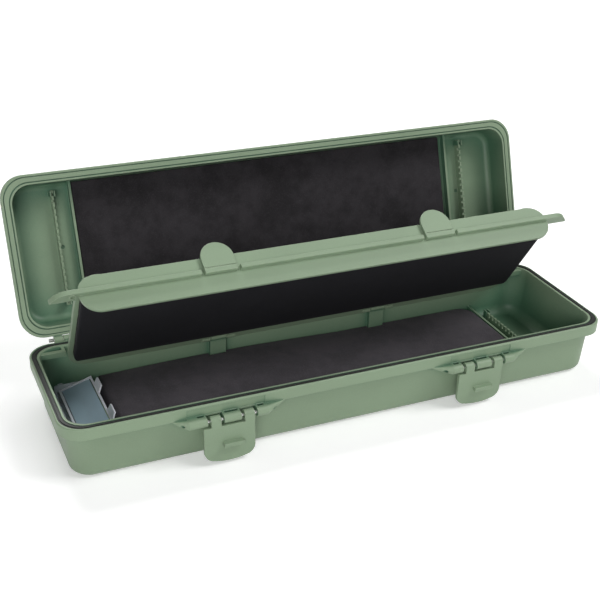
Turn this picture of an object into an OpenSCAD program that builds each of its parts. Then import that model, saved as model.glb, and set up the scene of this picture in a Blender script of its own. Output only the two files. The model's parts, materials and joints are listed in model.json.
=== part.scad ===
// Long flat rig box with a lift-up lid, a hinged inner leaf and two front catches.
// Origin at the middle of the base's underside, +X along the length, +Y to the back, +Z up.
// Drawn as photographed: lid and leaf open, catches hanging, small clear compartment ajar.

/* [Case] */
// Overall length
box_l = 360; // [330:5:400]
// Overall depth over the flanges
box_w = 100; // [94:1:110]
// Corner radius of the flanges in plan
corner_r = 14.6; // [12:0.2:17]
// Height of the base up to its rim
base_h = 37.2; // [36:0.2:42]
// Height of the lid above the parting line
lid_h = 22.4; // [21:0.2:30]
// Gap between the rims when shut
part_gap = 0.3; // [0.2:0.05:0.5]
// Wall thickness
wall = 1.8; // [1.5:0.1:2.2]
// Floor thickness
floor_t = 2.4; // [1.8:0.1:3]
// Ceiling thickness of the lid
ceiling_t = 2.4; // [1.8:0.1:3]
// How far the base flange stands out from the wall
flange_out = 4.2; // [3.4:0.1:4.8]
// Height of the base flange
flange_h = 7.2; // [6.4:0.1:8]
// Height of the lid flange
lid_flange_h = 4; // [3:0.1:4.4]
// Corner radius of the walls under the flange
body_r = 14; // [12:0.5:16]
// Wall draft in mm per mm
draft = 0.05; // [0.03:0.005:0.06]
// Fillet round the outside of floor and ceiling
bottom_r = 4.7; // [3.5:0.1:5.5]
// Fillet round the inside of the floor
inner_r = 6.5; // [5:0.1:7]
// Fillet round the inside of the ceiling
ceiling_r = 4; // [3:0.1:5]

/* [Rim and seal] */
// Width of the outer lip
lip_out = 1.15; // [1:0.05:1.6]
// Width of the seal groove
seal_w = 3; // [2.2:0.05:3.2]
// Width of the inner lip
lip_in = 1.2; // [1:0.02:1.7]
// Depth of the seal groove
seal_depth = 1.6; // [1.2:0.1:2]
// Clearance of the seal in its groove
seal_clear = 0.15; // [0.1:0.01:0.25]
// Bevel of the outer rim edge
rim_bevel = 0.6; // [0.3:0.05:0.8]

/* [Compartments] */
// Distance of the right divider and the lid ribs from the box's end
divider_end = 45.5; // [43:0.5:60]
// Divider thickness
divider_t = 1.5; // [1.2:0.1:2]
// Height of the right divider over the underside
divider_top = 12; // [10:0.1:12.4]
// Height of the left divider, which stays under the shut clear cover
low_divider = 7.3; // [6:0.1:7.4]
// Depth of the lid ribs under the ceiling
lid_rib = 4.7; // [4.2:0.1:6]
// Distance of the line combs from the box's end
comb_end = 33.5; // [32:0.5:35]
// Comb thickness
comb_t = 1.3; // [1:0.1:1.6]
// Comb height
comb_h = 5.8; // [4.5:0.1:6.2]
// Pitch of the comb slots
comb_pitch = 4.2; // [3.6:0.1:5]
// Width of the comb slots
comb_slot = 1.6; // [1:0.1:2]
// Depth of the comb slots
comb_cut = 2.6; // [1.5:0.1:3]
// How much shorter than the box is deep the combs are
comb_side = 27.6; // [27:0.4:40]
// Distance of the ledge bars' inner ends from the box's end
ledge_l = 22.5; // [18:0.5:22.5]
// Distance of the ledge bars' front from the box's back
ledge_in = 12; // [10:0.2:12.6]
// Depth of a ledge bar
ledge_d = 2.8; // [2.4:0.2:3.6]
// Clearance of a comb in its guides
comb_clear = 0.15; // [0.1:0.01:0.25]
// Thickness of a comb guide
guide_t = 0.9; // [0.7:0.1:1.1]
// Length of a comb guide
guide_l = 3.4; // [2.4:0.2:4.4]

/* [Foam] */
// Thickness of the lid foam
lid_foam_t = 3.6; // [2.5:0.1:4]
// Gap between the lid foam and the right rib
lid_foam_gap = 3; // [0.5:0.5:5]
// Top of the base foam at the sides of the crown
base_foam_top = 11.9; // [11:0.1:12.3]
// Extra height of the crown at the back
base_crown = 2.2; // [1:0.1:2.4]
// Thickness of the leaf foams
leaf_foam_t = 4; // [3:0.1:4.4]
// Bare border of the leaf beside its foam
leaf_border = 2.6; // [1.6:0.1:3.5]
// Radius of the base foam's back corner at the comb
foam_corner = 11; // [6:1:14]
// Gap between a foam and the walls round it
foam_gap = 0.4; // [0.3:0.1:0.8]

/* [Leaf] */
// Distance of the leaf plate from the box's end
leaf_end = 22.8; // [22.8:0.2:28]
// Gap in front of the leaf when it is down
leaf_gap = 0.5; // [0.4:0.1:1]
// Plate thickness
leaf_t = 3; // [2.8:0.1:3.2]
// Plate behind the pivot
leaf_tail = 2.5; // [2.2:0.1:2.6]
// Rear corner radius
leaf_corner = 16; // [10:0.5:18]
// Rise of the cross strip over the plate middle
strip_up = 10.6; // [9:0.1:10.8]
// Drop of the cross strip under the plate middle
strip_down = 13; // [12:0.1:13.2]
// Cross strip thickness
strip_t = 1.6; // [1.3:0.1:1.8]
// Distance of the cross strip from the box's end
strip_end = 24.8; // [24:0.2:30]
// Upper corner radius of the strip
strip_r_up = 10.2; // [6:0.1:10.2]
// Lower corner radius of the strip
strip_r_down = 12; // [8:0.5:12]
// Distance of the corner lugs from the box's end
lug_end = 7.4; // [7.2:0.2:12]
// Depth of a lug
lug_d = 7.1; // [7:0.1:9]
// Rounding of a lug's outer corner
lug_r = 11.5; // [10:0.1:12]
// Height of the pivot above the underside
leaf_z = 26; // [25.8:0.1:26.4]
// Pivot radius of the leaf pins
leaf_pin_r = 1; // [0.9:0.05:1.1]
// Outer radius of the leaf knuckles
leaf_knuckle_r = 2.3; // [2.1:0.1:2.4]
// Width of a leaf knuckle
leaf_knuckle_w = 5.6; // [4:0.2:7]
// Distance of the posts from the middle
post_x = 58; // [50:1:66]
// Post width
post_w = 10.8; // [10:0.2:13]
// Post depth
post_d = 3.5; // [3:0.1:3.8]
// Side clearance of the knuckles
side_clear = 0.4; // [0.25:0.05:0.6]
// Opening angle of the leaf in the photograph
leaf_open = 57.9; // [50:0.1:60]

/* [Lifting tabs] */
// Distance of the tabs from the middle
tab_x = 73; // [60:1:76]
// How far both tabs sit off towards +X
tab_shift = 1.6; // [0:0.1:2]
// Tab width
tab_w = 20; // [16:0.5:22]
// Top of the tab over the plate middle
tab_top = 18.5; // [16:0.1:19]
// Tab thickness
tab_t = 1.7; // [1.4:0.1:1.8]
// Slot beside the tab
tab_slot = 2.1; // [1:0.1:2.5]
// Gap behind the tab
tab_gap = 1.2; // [1:0.1:1.3]
// Clearance at the tab's root
tab_clear = 0.3; // [0.25:0.05:0.35]

/* [Lid hinge] */
// Hinge axis behind the flange
hinge_off = 2.4; // [2.3:0.05:2.6]
// Outer radius of the lid knuckles
hinge_r = 2.2; // [2:0.05:2.25]
// Radius of the lid hinge pins
hinge_pin_r = 1.15; // [1:0.05:1.2]
// Running clearance of all pins
pin_clear = 0.05; // [0.03:0.01:0.08]
// Distance of the lid hinges from the box's end
hinge_in = 18.6; // [15:0.2:22]
// Width of one lid knuckle
hinge_w = 5.4; // [5:0.2:8]
// Width of the base knuckle between them
hinge_mid = 10; // [8:0.2:12]
// How far a lid hinge pin stands out
pin_out = 3.4; // [1:0.2:4]
// Gap between lid knuckles
hinge_gap = 0.4; // [0.3:0.05:0.6]
// Opening angle of the lid in the photograph
lid_open = 110.6; // [100:0.1:112]

/* [Catches] */
// Distance of the catches from the middle
latch_x = 83.6; // [75:0.2:90]
// Catch axis in front of the flange
latch_off = 3.2; // [3.2:0.05:3.4]
// Catch axis height
latch_z = 28; // [27.8:0.1:28.2]
// Outer radius of the catch knuckles
latch_r = 2.8; // [2.6:0.05:2.8]
// Radius of the catch pins
latch_pin_r = 1; // [0.9:0.05:1.1]
// Plate width
latch_w = 31; // [30:0.5:34]
// Plate reach below the axis
latch_reach = 26.4; // [24:0.2:27]
// Bow of the plate's lower edge
latch_bow = 2.8; // [1.5:0.1:5]
// How far the plate sits off towards -X
latch_off_x = 2.4; // [0:0.1:2.6]
// Plate thickness
latch_t = 2; // [1.6:0.1:2.1]
// Rounding of the lower corners
latch_round = 6.5; // [3:0.5:8]
// Hook bar width
hook_w = 12.4; // [10:0.2:16]
// Hook bar thickness
hook_t = 2.4; // [1.6:0.1:3]
// Hook bar projection
hook_out = 3; // [2.4:0.1:3.4]
// Clearance of the hook over the lid flange
hook_clear = 0.15; // [0.1:0.05:0.3]
// Inner end of a catch arm
arm_in = 7.2; // [7:0.2:8]
// Outer end of a catch arm
arm_out = 13.2; // [12.6:0.2:13.6]
// Gap between the catch knuckles
knuckle_gap = 2; // [1:0.1:2.2]
// Outer end of the left catch's long base knuckle
knuckle_long = 26; // [22:0.2:28]
// Outer end of the other base knuckles
knuckle_short = 21.8; // [20:0.2:24]
// End of the tapered fairings beside the knuckles
fairing_end = 34.5; // [30:0.5:38]
// Lean of the left catch
latch_lean_left = 4; // [-4:1:6]
// Lean of the right catch
latch_lean_right = 0; // [-6:1:4]

/* [Clear compartment] */
// Distance of the tray from the box's end
tray_end = 12.7; // [12.7:0.1:15]
// Width of the tray
tray_w = 23.3; // [21:0.1:25]
// Distance of the tray from the box's front
tray_front = 13.5; // [13.5:0.5:20]
// Distance of the tray from the box's back
tray_back = 10; // [10:0.1:14]
// Corner radius of the tray
tray_r = 3; // [2.4:0.1:3.4]
// Tray wall
tray_wall = 1.1; // [0.9:0.05:1.3]
// Height of the end walls over the underside
tray_top = 12.4; // [11.4:0.1:13]
// Lift of the tray over the floor
tray_lift = 0.3; // [0.25:0.05:0.4]
// Cover thickness
cover_t = 1.1; // [0.9:0.1:1.2]
// Window thickness
window_t = 0.6; // [0.4:0.1:0.7]
// Width of the cover's frame
cover_band = 2; // [1.5:0.1:3]
// Cover length from its axis
cover_l = 21.5; // [20:0.1:22]
// Axis behind the left side
cover_in = 3.8; // [3:0.1:5]
// Height of the cover axis
cover_z = 8.6; // [8.2:0.1:9]
// Gap round the cover
cover_gap = 0.3; // [0.2:0.05:0.4]
// Pivot radius of the cover
cover_pin_r = 0.4; // [0.35:0.05:0.45]
// Ear length
ear_l = 12; // [8:0.5:14]
// Ear height
ear_h = 4.7; // [3.5:0.1:4.8]
// Ear thickness
ear_t = 1.1; // [0.9:0.1:1.3]
// Ear bend from the cover
ear_bend = 44; // [30:1:60]
// Tilt of the cover in the photograph
cover_open = 17.8; // [10:0.1:18]

/* [Hidden] */
$fn = 48;
seg = 10;
hl = box_l / 2;
hw = box_w / 2;
flange_z = base_h - flange_h;
lid_z = base_h + part_gap;
top_z = base_h + lid_h;
ceiling_z = top_z - ceiling_t;
hinge_y = hw + hinge_off;
hinge_z = base_h + part_gap / 2;
rim_in = lip_out + seal_w + lip_in;
lid_rim_in = rim_in + 0.96;
leaf_y = hw - 9.2;
divider_x = hl - divider_end;
comb_x = hl - comb_end;
comb_l = box_w - comb_side;
leaf_half = hl - leaf_end;
leaf_reach = leaf_y + hw - flange_out - draft * (flange_z - leaf_z) - wall - leaf_gap;
strip_half = hl - strip_end;
lug_half = hl - lug_end;
hinge_end = hl - hinge_in;
tray_x0 = tray_end - hl;
tray_x1 = tray_x0 + tray_w;
tray_y0 = tray_front - hw;
tray_y1 = hw - tray_back;
low_x = tray_x1 + 0.65 + divider_t / 2;
latch_y = -hw - latch_off;
strip_v = leaf_reach - 0.2 - tab_t - tab_gap;
cover_x = tray_x0 + cover_in;
green = [0.56, 0.65, 0.53];
dark_green = [0.3, 0.38, 0.31];
charcoal = [0.15, 0.15, 0.17];
steel = [0.75, 0.76, 0.78];
clear_blue = [0.75, 0.82, 0.88, 0.6];

// Corner radius of a rim line at an inset
function rim_r(e) = corner_r - 0.45 * e;
// How far the outer wall of the base lies inside the flange at a height
function wall_in(z) = flange_out + draft * (flange_z - z);
// How far the inner wall of the base lies inside the flange at a height
function cavity_in(z) = wall_in(z) + wall;
// The same for the inner wall of the lid
function lid_in(z) = lid_rim_in + draft * (z - lid_z);

// One level of a rounded rectangle
function ring(hx, hy, r, z) = [for (i = [0:3]) for (k = [0:seg])
  let (a = i * 90 + k * 90 / seg, sx = (i == 0 || i == 3) ? 1 : -1, sy = i < 2 ? 1 : -1)
  [sx * (hx - r) + r * cos(a), sy * (hy - r) + r * sin(a), z]];

// Closed body through rings of points that have the same count
module loft(rings) {
  n = len(rings[0]);
  m = len(rings);
  pts = [for (r = rings) for (p = r) p];
  sides = [for (i = [0:m - 2]) for (j = [0:n - 1])
    let (a = i * n + j, b = i * n + (j + 1) % n, c = a + n, d = b + n) each [[a, c, d], [a, d, b]]];
  polyhedron(pts, concat([[for (j = [0:n - 1]) j]], sides, [[for (j = [0:n - 1]) m * n - 1 - j]]));
}

module rrect(hx, hy, r) {
  square([2 * (hx - r), 2 * hy], center = true);
  square([2 * hx, 2 * (hy - r)], center = true);
  for (sx = [-1, 1], sy = [-1, 1])
    translate([sx * (hx - r), sy * (hy - r)]) circle(r);
}

// Band that follows the rim between two insets
module rim_band(in0, in1, z0, z1) {
  translate([0, 0, z0]) linear_extrude(z1 - z0) difference() {
    rrect(hl - in0, hw - in0, rim_r(in0));
    rrect(hl - in1, hw - in1, rim_r(in1));
  }
}

// Prism along X from an outline in Y and Z
module xprism(x0, x1, pts) {
  translate([x0, 0, 0]) rotate([90, 0, 90]) linear_extrude(x1 - x0) polygon(pts);
}

module xrod(x0, x1, r, y, z) {
  translate([x0, y, z]) rotate([0, 90, 0]) cylinder(h = x1 - x0, r = r);
}

module lid_pose() {
  translate([0, hinge_y, hinge_z]) rotate([-lid_open, 0, 0]) translate([0, -hinge_y, -hinge_z]) children();
}

module leaf_pose() {
  translate([0, leaf_y, leaf_z]) rotate([-leaf_open, 0, 0]) children();
}

module base_outer() {
  f = bottom_r;
  loft(concat(
    [for (k = [0:5]) let (z = f * (1 - cos(k * 18)), e = wall_in(z) + f * (1 - sin(k * 18)))
      ring(hl - e, hw - e, body_r - e + flange_out, z)],
    [ring(hl - flange_out, hw - flange_out, body_r, flange_z),
     ring(hl, hw, corner_r, flange_z),
     ring(hl, hw, corner_r, base_h - rim_bevel),
     ring(hl - rim_bevel, hw - rim_bevel, corner_r - rim_bevel, base_h)]));
}

module base_cavity() {
  f = inner_r;
  t = base_h - 1;
  loft(concat(
    [for (k = [0:5]) let (z = floor_t + f * (1 - cos(k * 18)), e = cavity_in(z) + f * (1 - sin(k * 18)))
      ring(hl - e, hw - e, body_r - wall - e + cavity_in(flange_z), z)],
    [ring(hl - cavity_in(t), hw - cavity_in(t), rim_r(rim_in), t),
     ring(hl - rim_in, hw - rim_in, rim_r(rim_in), base_h),
     ring(hl - rim_in, hw - rim_in, rim_r(rim_in), base_h + 1)]));
}

// A pair of short upright guides that hold the end of a comb
module comb_guides(h) {
  for (s = [-1, 1])
    translate([s * (comb_t / 2 + comb_clear + guide_t / 2), 0, h / 2])
      cube([guide_t, guide_l, h], center = true);
}

// Toothed strip that holds line loops
module comb() {
  n = floor((comb_l - comb_slot) / comb_pitch);
  difference() {
    xprism(-comb_t / 2, comb_t / 2, [[2 - comb_l / 2, 0], [comb_l / 2 - 2, 0], [comb_l / 2, 2],
      [comb_l / 2, comb_h], [-comb_l / 2, comb_h], [-comb_l / 2, 2]]);
    for (i = [0:n])
      translate([-comb_t, (i - n / 2) * comb_pitch - comb_slot / 2, comb_h - comb_cut])
        cube([2 * comb_t, comb_slot, comb_cut + 1]);
  }
}

// Solid part of one base knuckle of a catch hinge, its dark slot reaching from one end to the other
module latch_knuckle(x0, x1, s0, s1) {
  t = latch_z + latch_r;
  difference() {
    union() {
      xrod(x0, x1, latch_r, latch_y, latch_z);
      xprism(x0, x1, [[latch_y, latch_z - latch_r], [-hw + 0.2, latch_z - latch_r],
        [-hw + wall_in(latch_z) + 0.6, flange_z - 1.6], [-hw + wall_in(latch_z) + 0.6, flange_z + 0.2],
        [-hw + 0.6, flange_z + 0.2], [-hw + 0.6, t], [latch_y, t]]);
    }
    translate([s0, -hw - 1.9, latch_z - 0.6]) cube([s1 - s0, 2.1, 8]);
  }
}

// Tapered fairing from the end of a knuckle to the wall, towards +X
module latch_fairing(x0) {
  hull() {
    xrod(x0 - 0.3, x0, latch_r, latch_y, latch_z);
    xprism(x0 - 0.3, x0, [[latch_y, latch_z - latch_r], [-hw + 0.2, latch_z - latch_r],
      [-hw + 1.6, latch_z], [-hw + 1.6, flange_z + 0.2], [latch_y, flange_z + 0.2]]);
    translate([fairing_end - 0.3, -hw + 0.3, flange_z - 0.7]) cube([0.3, 1.2, 0.9]);
  }
}

// Base side of a catch hinge, its outer end towards +X
module latch_mount(x1) {
  e = arm_out + knuckle_gap;
  c = arm_in - knuckle_gap;
  latch_knuckle(-knuckle_short, -e, -knuckle_short + 1.5, -e - 1.2);
  latch_knuckle(e, x1, e + 1, min(x1 - 1.5, e + 5));
  latch_knuckle(-c, c, -c + 1, c - 1.4);
  latch_fairing(x1);
  mirror([1, 0, 0]) latch_fairing(knuckle_short);
}

// Shallow recess of the flange over a catch
module latch_recess(x1) {
  z = latch_z + latch_r;
  translate([-knuckle_short, -hw - 1, z]) cube([knuckle_short + x1, 1.35, base_h - z - 1.5]);
}

module base_hinge_knuckle() {
  x = hinge_end - hinge_w - hinge_gap - hinge_mid;
  xrod(x, x + hinge_mid, hinge_r, hinge_y, hinge_z);
  xprism(x, x + hinge_mid, [[hw - 0.3, flange_z + 1], [hinge_y + 0.4, hinge_z - 3.4],
    [hinge_y + hinge_r - 0.4, hinge_z - 1], [hinge_y, hinge_z - 0.2], [hw - 0.3, hinge_z - 0.2]]);
}

module base_tub() {
  color(green) difference() {
    union() {
      difference() {
        base_outer();
        base_cavity();
        rim_band(lip_out, lip_out + seal_w, base_h - seal_depth, base_h + 1);
      }
      // dividers
      for (d = [[divider_x, divider_top], [low_x, low_divider]])
        translate([d[0] - divider_t / 2, -hw + 6.5, floor_t - 0.3])
          cube([divider_t, box_w - 13, d[1] - floor_t + 0.3]);
      // posts of the leaf hinge
      for (s = [-1, 1]) translate([s * post_x, 0, 0]) {
        y0 = hw - cavity_in(leaf_z) - post_d;
        translate([-post_w / 2, y0, floor_t + 3]) cube([post_w, post_d + 0.6, leaf_z - floor_t - 3]);
        xrod(-post_w / 2, post_w / 2, leaf_knuckle_r, leaf_y, leaf_z);
      }
      // guides of the comb
      for (s = [-1, 1])
        translate([comb_x, s * (comb_l / 2 - guide_l / 2 - 0.4) + 2, floor_t - 0.3])
          comb_guides(comb_h + 1.6);
      // ledge bars in the rear corners
      intersection() {
        for (s = [-1, 1]) scale([s, 1, 1]) {
          translate([hl - ledge_l, hw - ledge_in, base_h - 4.2]) cube([ledge_l, ledge_d, 3.4]);
          translate([hl - ledge_l, hw - ledge_in, base_h - 4.2]) cube([2, ledge_in, 3.4]);
        }
        translate([0, 0, flange_z]) linear_extrude(flange_h)
          rrect(hl - rim_in + 0.34, hw - rim_in + 0.34, rim_r(rim_in - 0.34));
      }
      // catch hinges
      translate([latch_x, 0, 0]) latch_mount(knuckle_short);
      mirror([1, 0, 0]) translate([latch_x, 0, 0]) latch_mount(knuckle_long);
      base_hinge_knuckle();
      mirror([1, 0, 0]) base_hinge_knuckle();
    }
    translate([latch_x, 0, 0]) latch_recess(knuckle_short);
    mirror([1, 0, 0]) translate([latch_x, 0, 0]) latch_recess(knuckle_long);
    xrod(-hl, hl, latch_pin_r + pin_clear, latch_y, latch_z);
    xrod(-hl, hl, hinge_pin_r + pin_clear, hinge_y, hinge_z);
    for (s = [-1, 1])
      xrod(s * post_x - post_w, s * post_x + post_w, leaf_pin_r + pin_clear, leaf_y, leaf_z);
  }
}

module base_seal() {
  color([0.2, 0.21, 0.21]) {
    rim_band(lip_out + seal_clear, lip_out + seal_w - seal_clear, base_h - seal_depth, base_h - 0.4);
    rim_band(lip_out + seal_w / 2 - 0.5, lip_out + seal_w / 2 + 0.5, base_h - 0.4, base_h + 0.15);
  }
}

// Crown of the base foam along the box
function crown(x) = base_crown * max(0, cos(90 * (x + 62) / 90));

module base_foam() {
  x0 = low_x + divider_t / 2 + foam_gap;
  x1 = divider_x - divider_t / 2 - foam_gap;
  dx = (x1 - x0) / 24;
  w1 = hw - cavity_in(floor_t + inner_r) - foam_gap;
  w0 = w1 - inner_r;
  py = hw - cavity_in(leaf_z) - post_d - foam_gap;
  color(charcoal) difference() {
    rotate([90, 0, 90]) loft([for (i = [0:24])
      let (x = x0 + i * dx, t = base_foam_top, c = crown(x))
      [[w0, floor_t + 0.05, x], [w1 - 0.6, floor_t + inner_r - 1, x], [w1, t - 2, x],
       [w1 - 0.8, t + c * 0.8, x], [w1 / 2, t + c, x], [0, t + c * 0.8, x],
       [-w1 / 2, t + c * 0.5, x], [-w1 + 0.8, t, x], [-w1, t - 2, x],
       [-w1 + 0.6, floor_t + inner_r - 1, x], [-w0, floor_t + 0.05, x]]]);
    for (s = [-1, 1])
      translate([s * post_x - post_w / 2 - foam_gap, py, 0]) cube([post_w + 2 * foam_gap, hw, base_h]);
    translate([x1 - foam_corner, w1 - foam_corner, 0]) linear_extrude(base_h) difference() {
      square(foam_corner + 1);
      circle(foam_corner);
    }
    // slope that keeps clear of the shut cover's ears
    translate([cover_x + cover_l - 0.3, -hw, cover_z]) rotate([0, -ear_bend, 0])
      translate([-5, 0, -cover_t / 2 - 0.6]) cube([22, box_w, 20]);
  }
}

module base_comb() {
  color(green) translate([comb_x, 2, floor_t + 0.05]) comb();
}

module latch_pins() {
  color(steel) for (s = [-1, 1])
    translate([s * latch_x, 0, 0]) scale([s, 1, 1])
      xrod(-knuckle_short - 0.4, s < 0 ? knuckle_long + 1.6 : knuckle_short + 0.4,
        latch_pin_r, latch_y, latch_z);
}

module lid_hinge_pins() {
  l = 2 * hinge_w + 2 * hinge_gap + hinge_mid;
  color(steel) for (s = [-1, 1])
    scale([s, 1, 1]) xrod(hinge_end - l - 0.3, hinge_end + pin_out, hinge_pin_r, hinge_y, hinge_z);
}

module leaf_hinge_pins() {
  l = post_w / 2 + side_clear + leaf_knuckle_w - 0.2;
  color(steel) for (s = [-1, 1])
    xrod(s * post_x - l, s * post_x + l, leaf_pin_r, leaf_y, leaf_z);
}

// Section of the leaf's free edge with small bevels, from its front to its back
function leaf_lip(h, y0, y1) =
  [[y0, -h + 0.3], [y0 + 0.3, -h], [y1, -h], [y1, h], [y0 + 0.3, h], [y0, h - 0.3]];

module leaf_outline() {
  v = strip_v - strip_t / 2;
  translate([-leaf_half, -v]) square([2 * leaf_half, v + leaf_tail - leaf_corner]);
  translate([-leaf_half + leaf_corner, -v]) square([2 * (leaf_half - leaf_corner), v + leaf_tail]);
  for (s = [-1, 1])
    translate([s * (leaf_half - leaf_corner), leaf_tail - leaf_corner]) circle(leaf_corner);
}

module strip_outline() {
  ru = strip_r_up;
  rd = strip_r_down;
  translate([-strip_half + rd, -strip_down]) square([2 * (strip_half - rd), strip_down + strip_up - ru]);
  translate([-strip_half + ru, -strip_down + rd]) square([2 * (strip_half - ru), strip_down - rd + strip_up]);
  translate([-strip_half, -strip_down + rd]) square([2 * strip_half, strip_down - rd + strip_up - ru]);
  for (s = [-1, 1]) {
    translate([s * (strip_half - ru), strip_up - ru]) circle(ru);
    translate([s * (strip_half - rd), rd - strip_down]) circle(rd);
  }
}

module lug_outline() {
  intersection() {
    translate([strip_half - 3, -leaf_reach]) square([lug_half - strip_half + 3, lug_d]);
    translate([lug_half - lug_r, -leaf_reach + lug_r]) union() {
      circle(lug_r);
      translate([-2 * lug_r, -lug_r]) square([2 * lug_r, 2 * lug_r]);
    }
  }
}

module leaf_frame() {
  nr = leaf_knuckle_r + 0.4;
  nx = post_w / 2 + side_clear;
  color(green) leaf_pose() difference() {
    union() {
      difference() {
        translate([0, 0, -leaf_t / 2]) linear_extrude(leaf_t) leaf_outline();
        for (s = [-1, 1]) {
          translate([s * post_x - nx, -nr, -leaf_t]) cube([2 * nx, 9, 2 * leaf_t]);
          xprism(-hl, hl, [[leaf_tail - 0.9, s * (leaf_t / 2 + 0.01)],
            [leaf_tail + 1, s * (leaf_t / 2 + 0.01)], [leaf_tail + 1, s * (leaf_t / 2 - 1.9)]]);
        }
      }
      for (s = [-1, 1], k = [-1, 1])
        translate([s * post_x + k * (nx + leaf_knuckle_w / 2), 0, 0])
          xrod(-leaf_knuckle_w / 2, leaf_knuckle_w / 2, leaf_knuckle_r, 0, 0);
      translate([0, -strip_v + strip_t, 0]) rotate([90, 0, 0]) linear_extrude(strip_t) strip_outline();
      xprism(-strip_half, strip_half, leaf_lip(leaf_t / 2, -leaf_reach, -strip_v + 0.4));
      for (s = [-1, 1]) scale([s, 1, 1])
        translate([0, 0, -leaf_t / 2]) linear_extrude(leaf_t) lug_outline();
      // raised ring under the left lug
      translate([-strip_half - 3.4, -leaf_reach + 3, -leaf_t / 2 - 0.4]) cylinder(h = 0.5, r = 2.2);
    }
    translate([-strip_half - 3.4, -leaf_reach + 3, -leaf_t / 2 - 0.6]) cylinder(h = 1.2, r = 1.3);
    for (s = [-1, 1]) {
      translate([s * tab_x + tab_shift - tab_w / 2 - tab_slot, -leaf_reach - 1, -leaf_t])
        cube([tab_w + 2 * tab_slot, leaf_reach - strip_v + 1, 2 * leaf_t]);
      translate([s * post_x, 0, 0])
        xrod(-nx - leaf_knuckle_w - 1, nx + leaf_knuckle_w + 1, leaf_pin_r + pin_clear, 0, 0);
    }
  }
}

// Flat pad with a slightly crowned face, its rear corners rounded like the plate
module leaf_pad() {
  y0 = -strip_v + strip_t + foam_gap;
  y1 = -leaf_knuckle_r - 1.2;
  x1 = leaf_half - leaf_border;
  cy = (y0 + y1) / 2;
  h = (y1 - y0) / 2;
  corners = [[1, -1, 1.5, 270], [1, 1, 11, 0], [-1, 1, 11, 90], [-1, -1, 1.5, 180]];
  function pad_ring(e, z) = [for (p = corners) for (k = [0:6]) let (a = p[3] + k * 15, r = max(0.3, p[2] - e))
    [p[0] * (x1 - e - r) + r * cos(a), cy + p[1] * (h - e - r) + r * sin(a), z]];
  loft([pad_ring(0, 0), pad_ring(0, leaf_foam_t * 0.7),
    pad_ring(0.5, leaf_foam_t * 0.92), pad_ring(1.6, leaf_foam_t)]);
}

module leaf_foam_lower() {
  color(charcoal) leaf_pose() mirror([0, 0, 1]) translate([0, 0, leaf_t / 2]) leaf_pad();
}

module leaf_foam_upper() {
  color(charcoal) leaf_pose() translate([0, 0, leaf_t / 2]) leaf_pad();
}

module leaf_tab(x) {
  y0 = -leaf_reach + 0.1;
  color(green) leaf_pose() translate([x + tab_shift, 0, 0]) difference() {
    union() {
      xprism(-tab_w / 2, tab_w / 2, leaf_lip(leaf_t / 2 - 0.1, y0, -strip_v - tab_clear));
      translate([0, y0 + 0.1 + tab_t, 0]) rotate([90, 0, 0]) linear_extrude(tab_t) intersection() {
        translate([-tab_w / 2, 0]) square([tab_w, tab_top]);
        union() {
          translate([-tab_w / 2, 0]) square([tab_w, tab_top - tab_w / 2]);
          translate([0, tab_top - tab_w / 2]) circle(tab_w / 2);
        }
      }
    }
    // groove at the root
    xprism(-tab_w, tab_w, [[y0 - 1, leaf_t / 2 + 0.3], [y0 + 0.5, leaf_t / 2 + 0.3],
      [y0 + 0.5, leaf_t / 2 + 0.8], [y0 - 1, leaf_t / 2 + 0.8]]);
  }
}

module latch_plate_outline() {
  c = latch_w / 2;
  rr = (c * c + latch_bow * latch_bow) / (2 * latch_bow);
  u = c - latch_round;
  cy = rr - latch_reach - sqrt((rr - latch_round) * (rr - latch_round) - u * u);
  translate([-latch_off_x, 0]) intersection() {
    translate([0, rr - latch_reach]) circle(rr, $fn = 192);
    union() {
      translate([-c, cy]) square([latch_w, -latch_r - 0.5 - cy]);
      translate([-u, -latch_reach]) square([2 * u, latch_reach - 8]);
      for (s = [-1, 1]) translate([s * u, cy]) circle(latch_round);
    }
  }
}

module latch(lean) {
  color(green) translate([0, latch_y, latch_z]) rotate([-lean, 0, 0]) difference() {
    union() {
      translate([0, -latch_r + latch_t, 0]) rotate([90, 0, 0]) linear_extrude(latch_t) latch_plate_outline();
      for (s = [-1, 1]) translate([s * (arm_in + arm_out) / 2, 0, 0]) {
        a = (arm_out - arm_in) / 2;
        xrod(-a, a, latch_r, 0, 0);
        translate([-a, -latch_r, -latch_r - 1]) cube([2 * a, latch_t, latch_r + 1]);
      }
      hz = base_h + part_gap + lid_flange_h - latch_z + hook_clear;
      translate([-hook_w / 2 - latch_off_x / 4, -latch_r - hook_out, -hz - hook_t])
        cube([hook_w, hook_out + latch_t / 2, hook_t]);
    }
    xrod(-latch_w, latch_w, latch_pin_r + pin_clear, 0, 0);
  }
}

module tray_shape(e, z0, z1) {
  hx = (tray_x1 - tray_x0) / 2 - e;
  hy = (tray_y1 - tray_y0) / 2 - e;
  r = tray_r - e;
  translate([(tray_x0 + tray_x1) / 2, (tray_y0 + tray_y1) / 2, 0])
    loft([ring(hx - 2.6, hy - 2.6, max(0.6, r - 1.2), z0), ring(hx - 0.8, hy - 0.8, r - 0.4, z0 + 1),
      ring(hx, hy, r, z0 + 2.6), ring(hx, hy, r, z1)]);
}

module insert_tray() {
  z0 = floor_t + tray_lift;
  side = cover_z - cover_t / 2 - 0.15;
  color(clear_blue) difference() {
    union() {
      tray_shape(0, z0, tray_top);
      translate([tray_x0 + tray_r, tray_y1 - 3, tray_top - 1]) cube([3, 3, 1.8]);
    }
    tray_shape(tray_wall, z0 + tray_wall, tray_top + 3);
    translate([tray_x0 - 1, tray_y0 + tray_wall, side])
      cube([tray_x1 - tray_x0 + 2, tray_y1 - tray_y0 - 2 * tray_wall, 20]);
    translate([cover_x, tray_y0 - 1, cover_z]) rotate([-90, 0, 0])
      cylinder(h = tray_y1 - tray_y0 + 2, r = cover_pin_r + pin_clear);
  }
}

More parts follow.
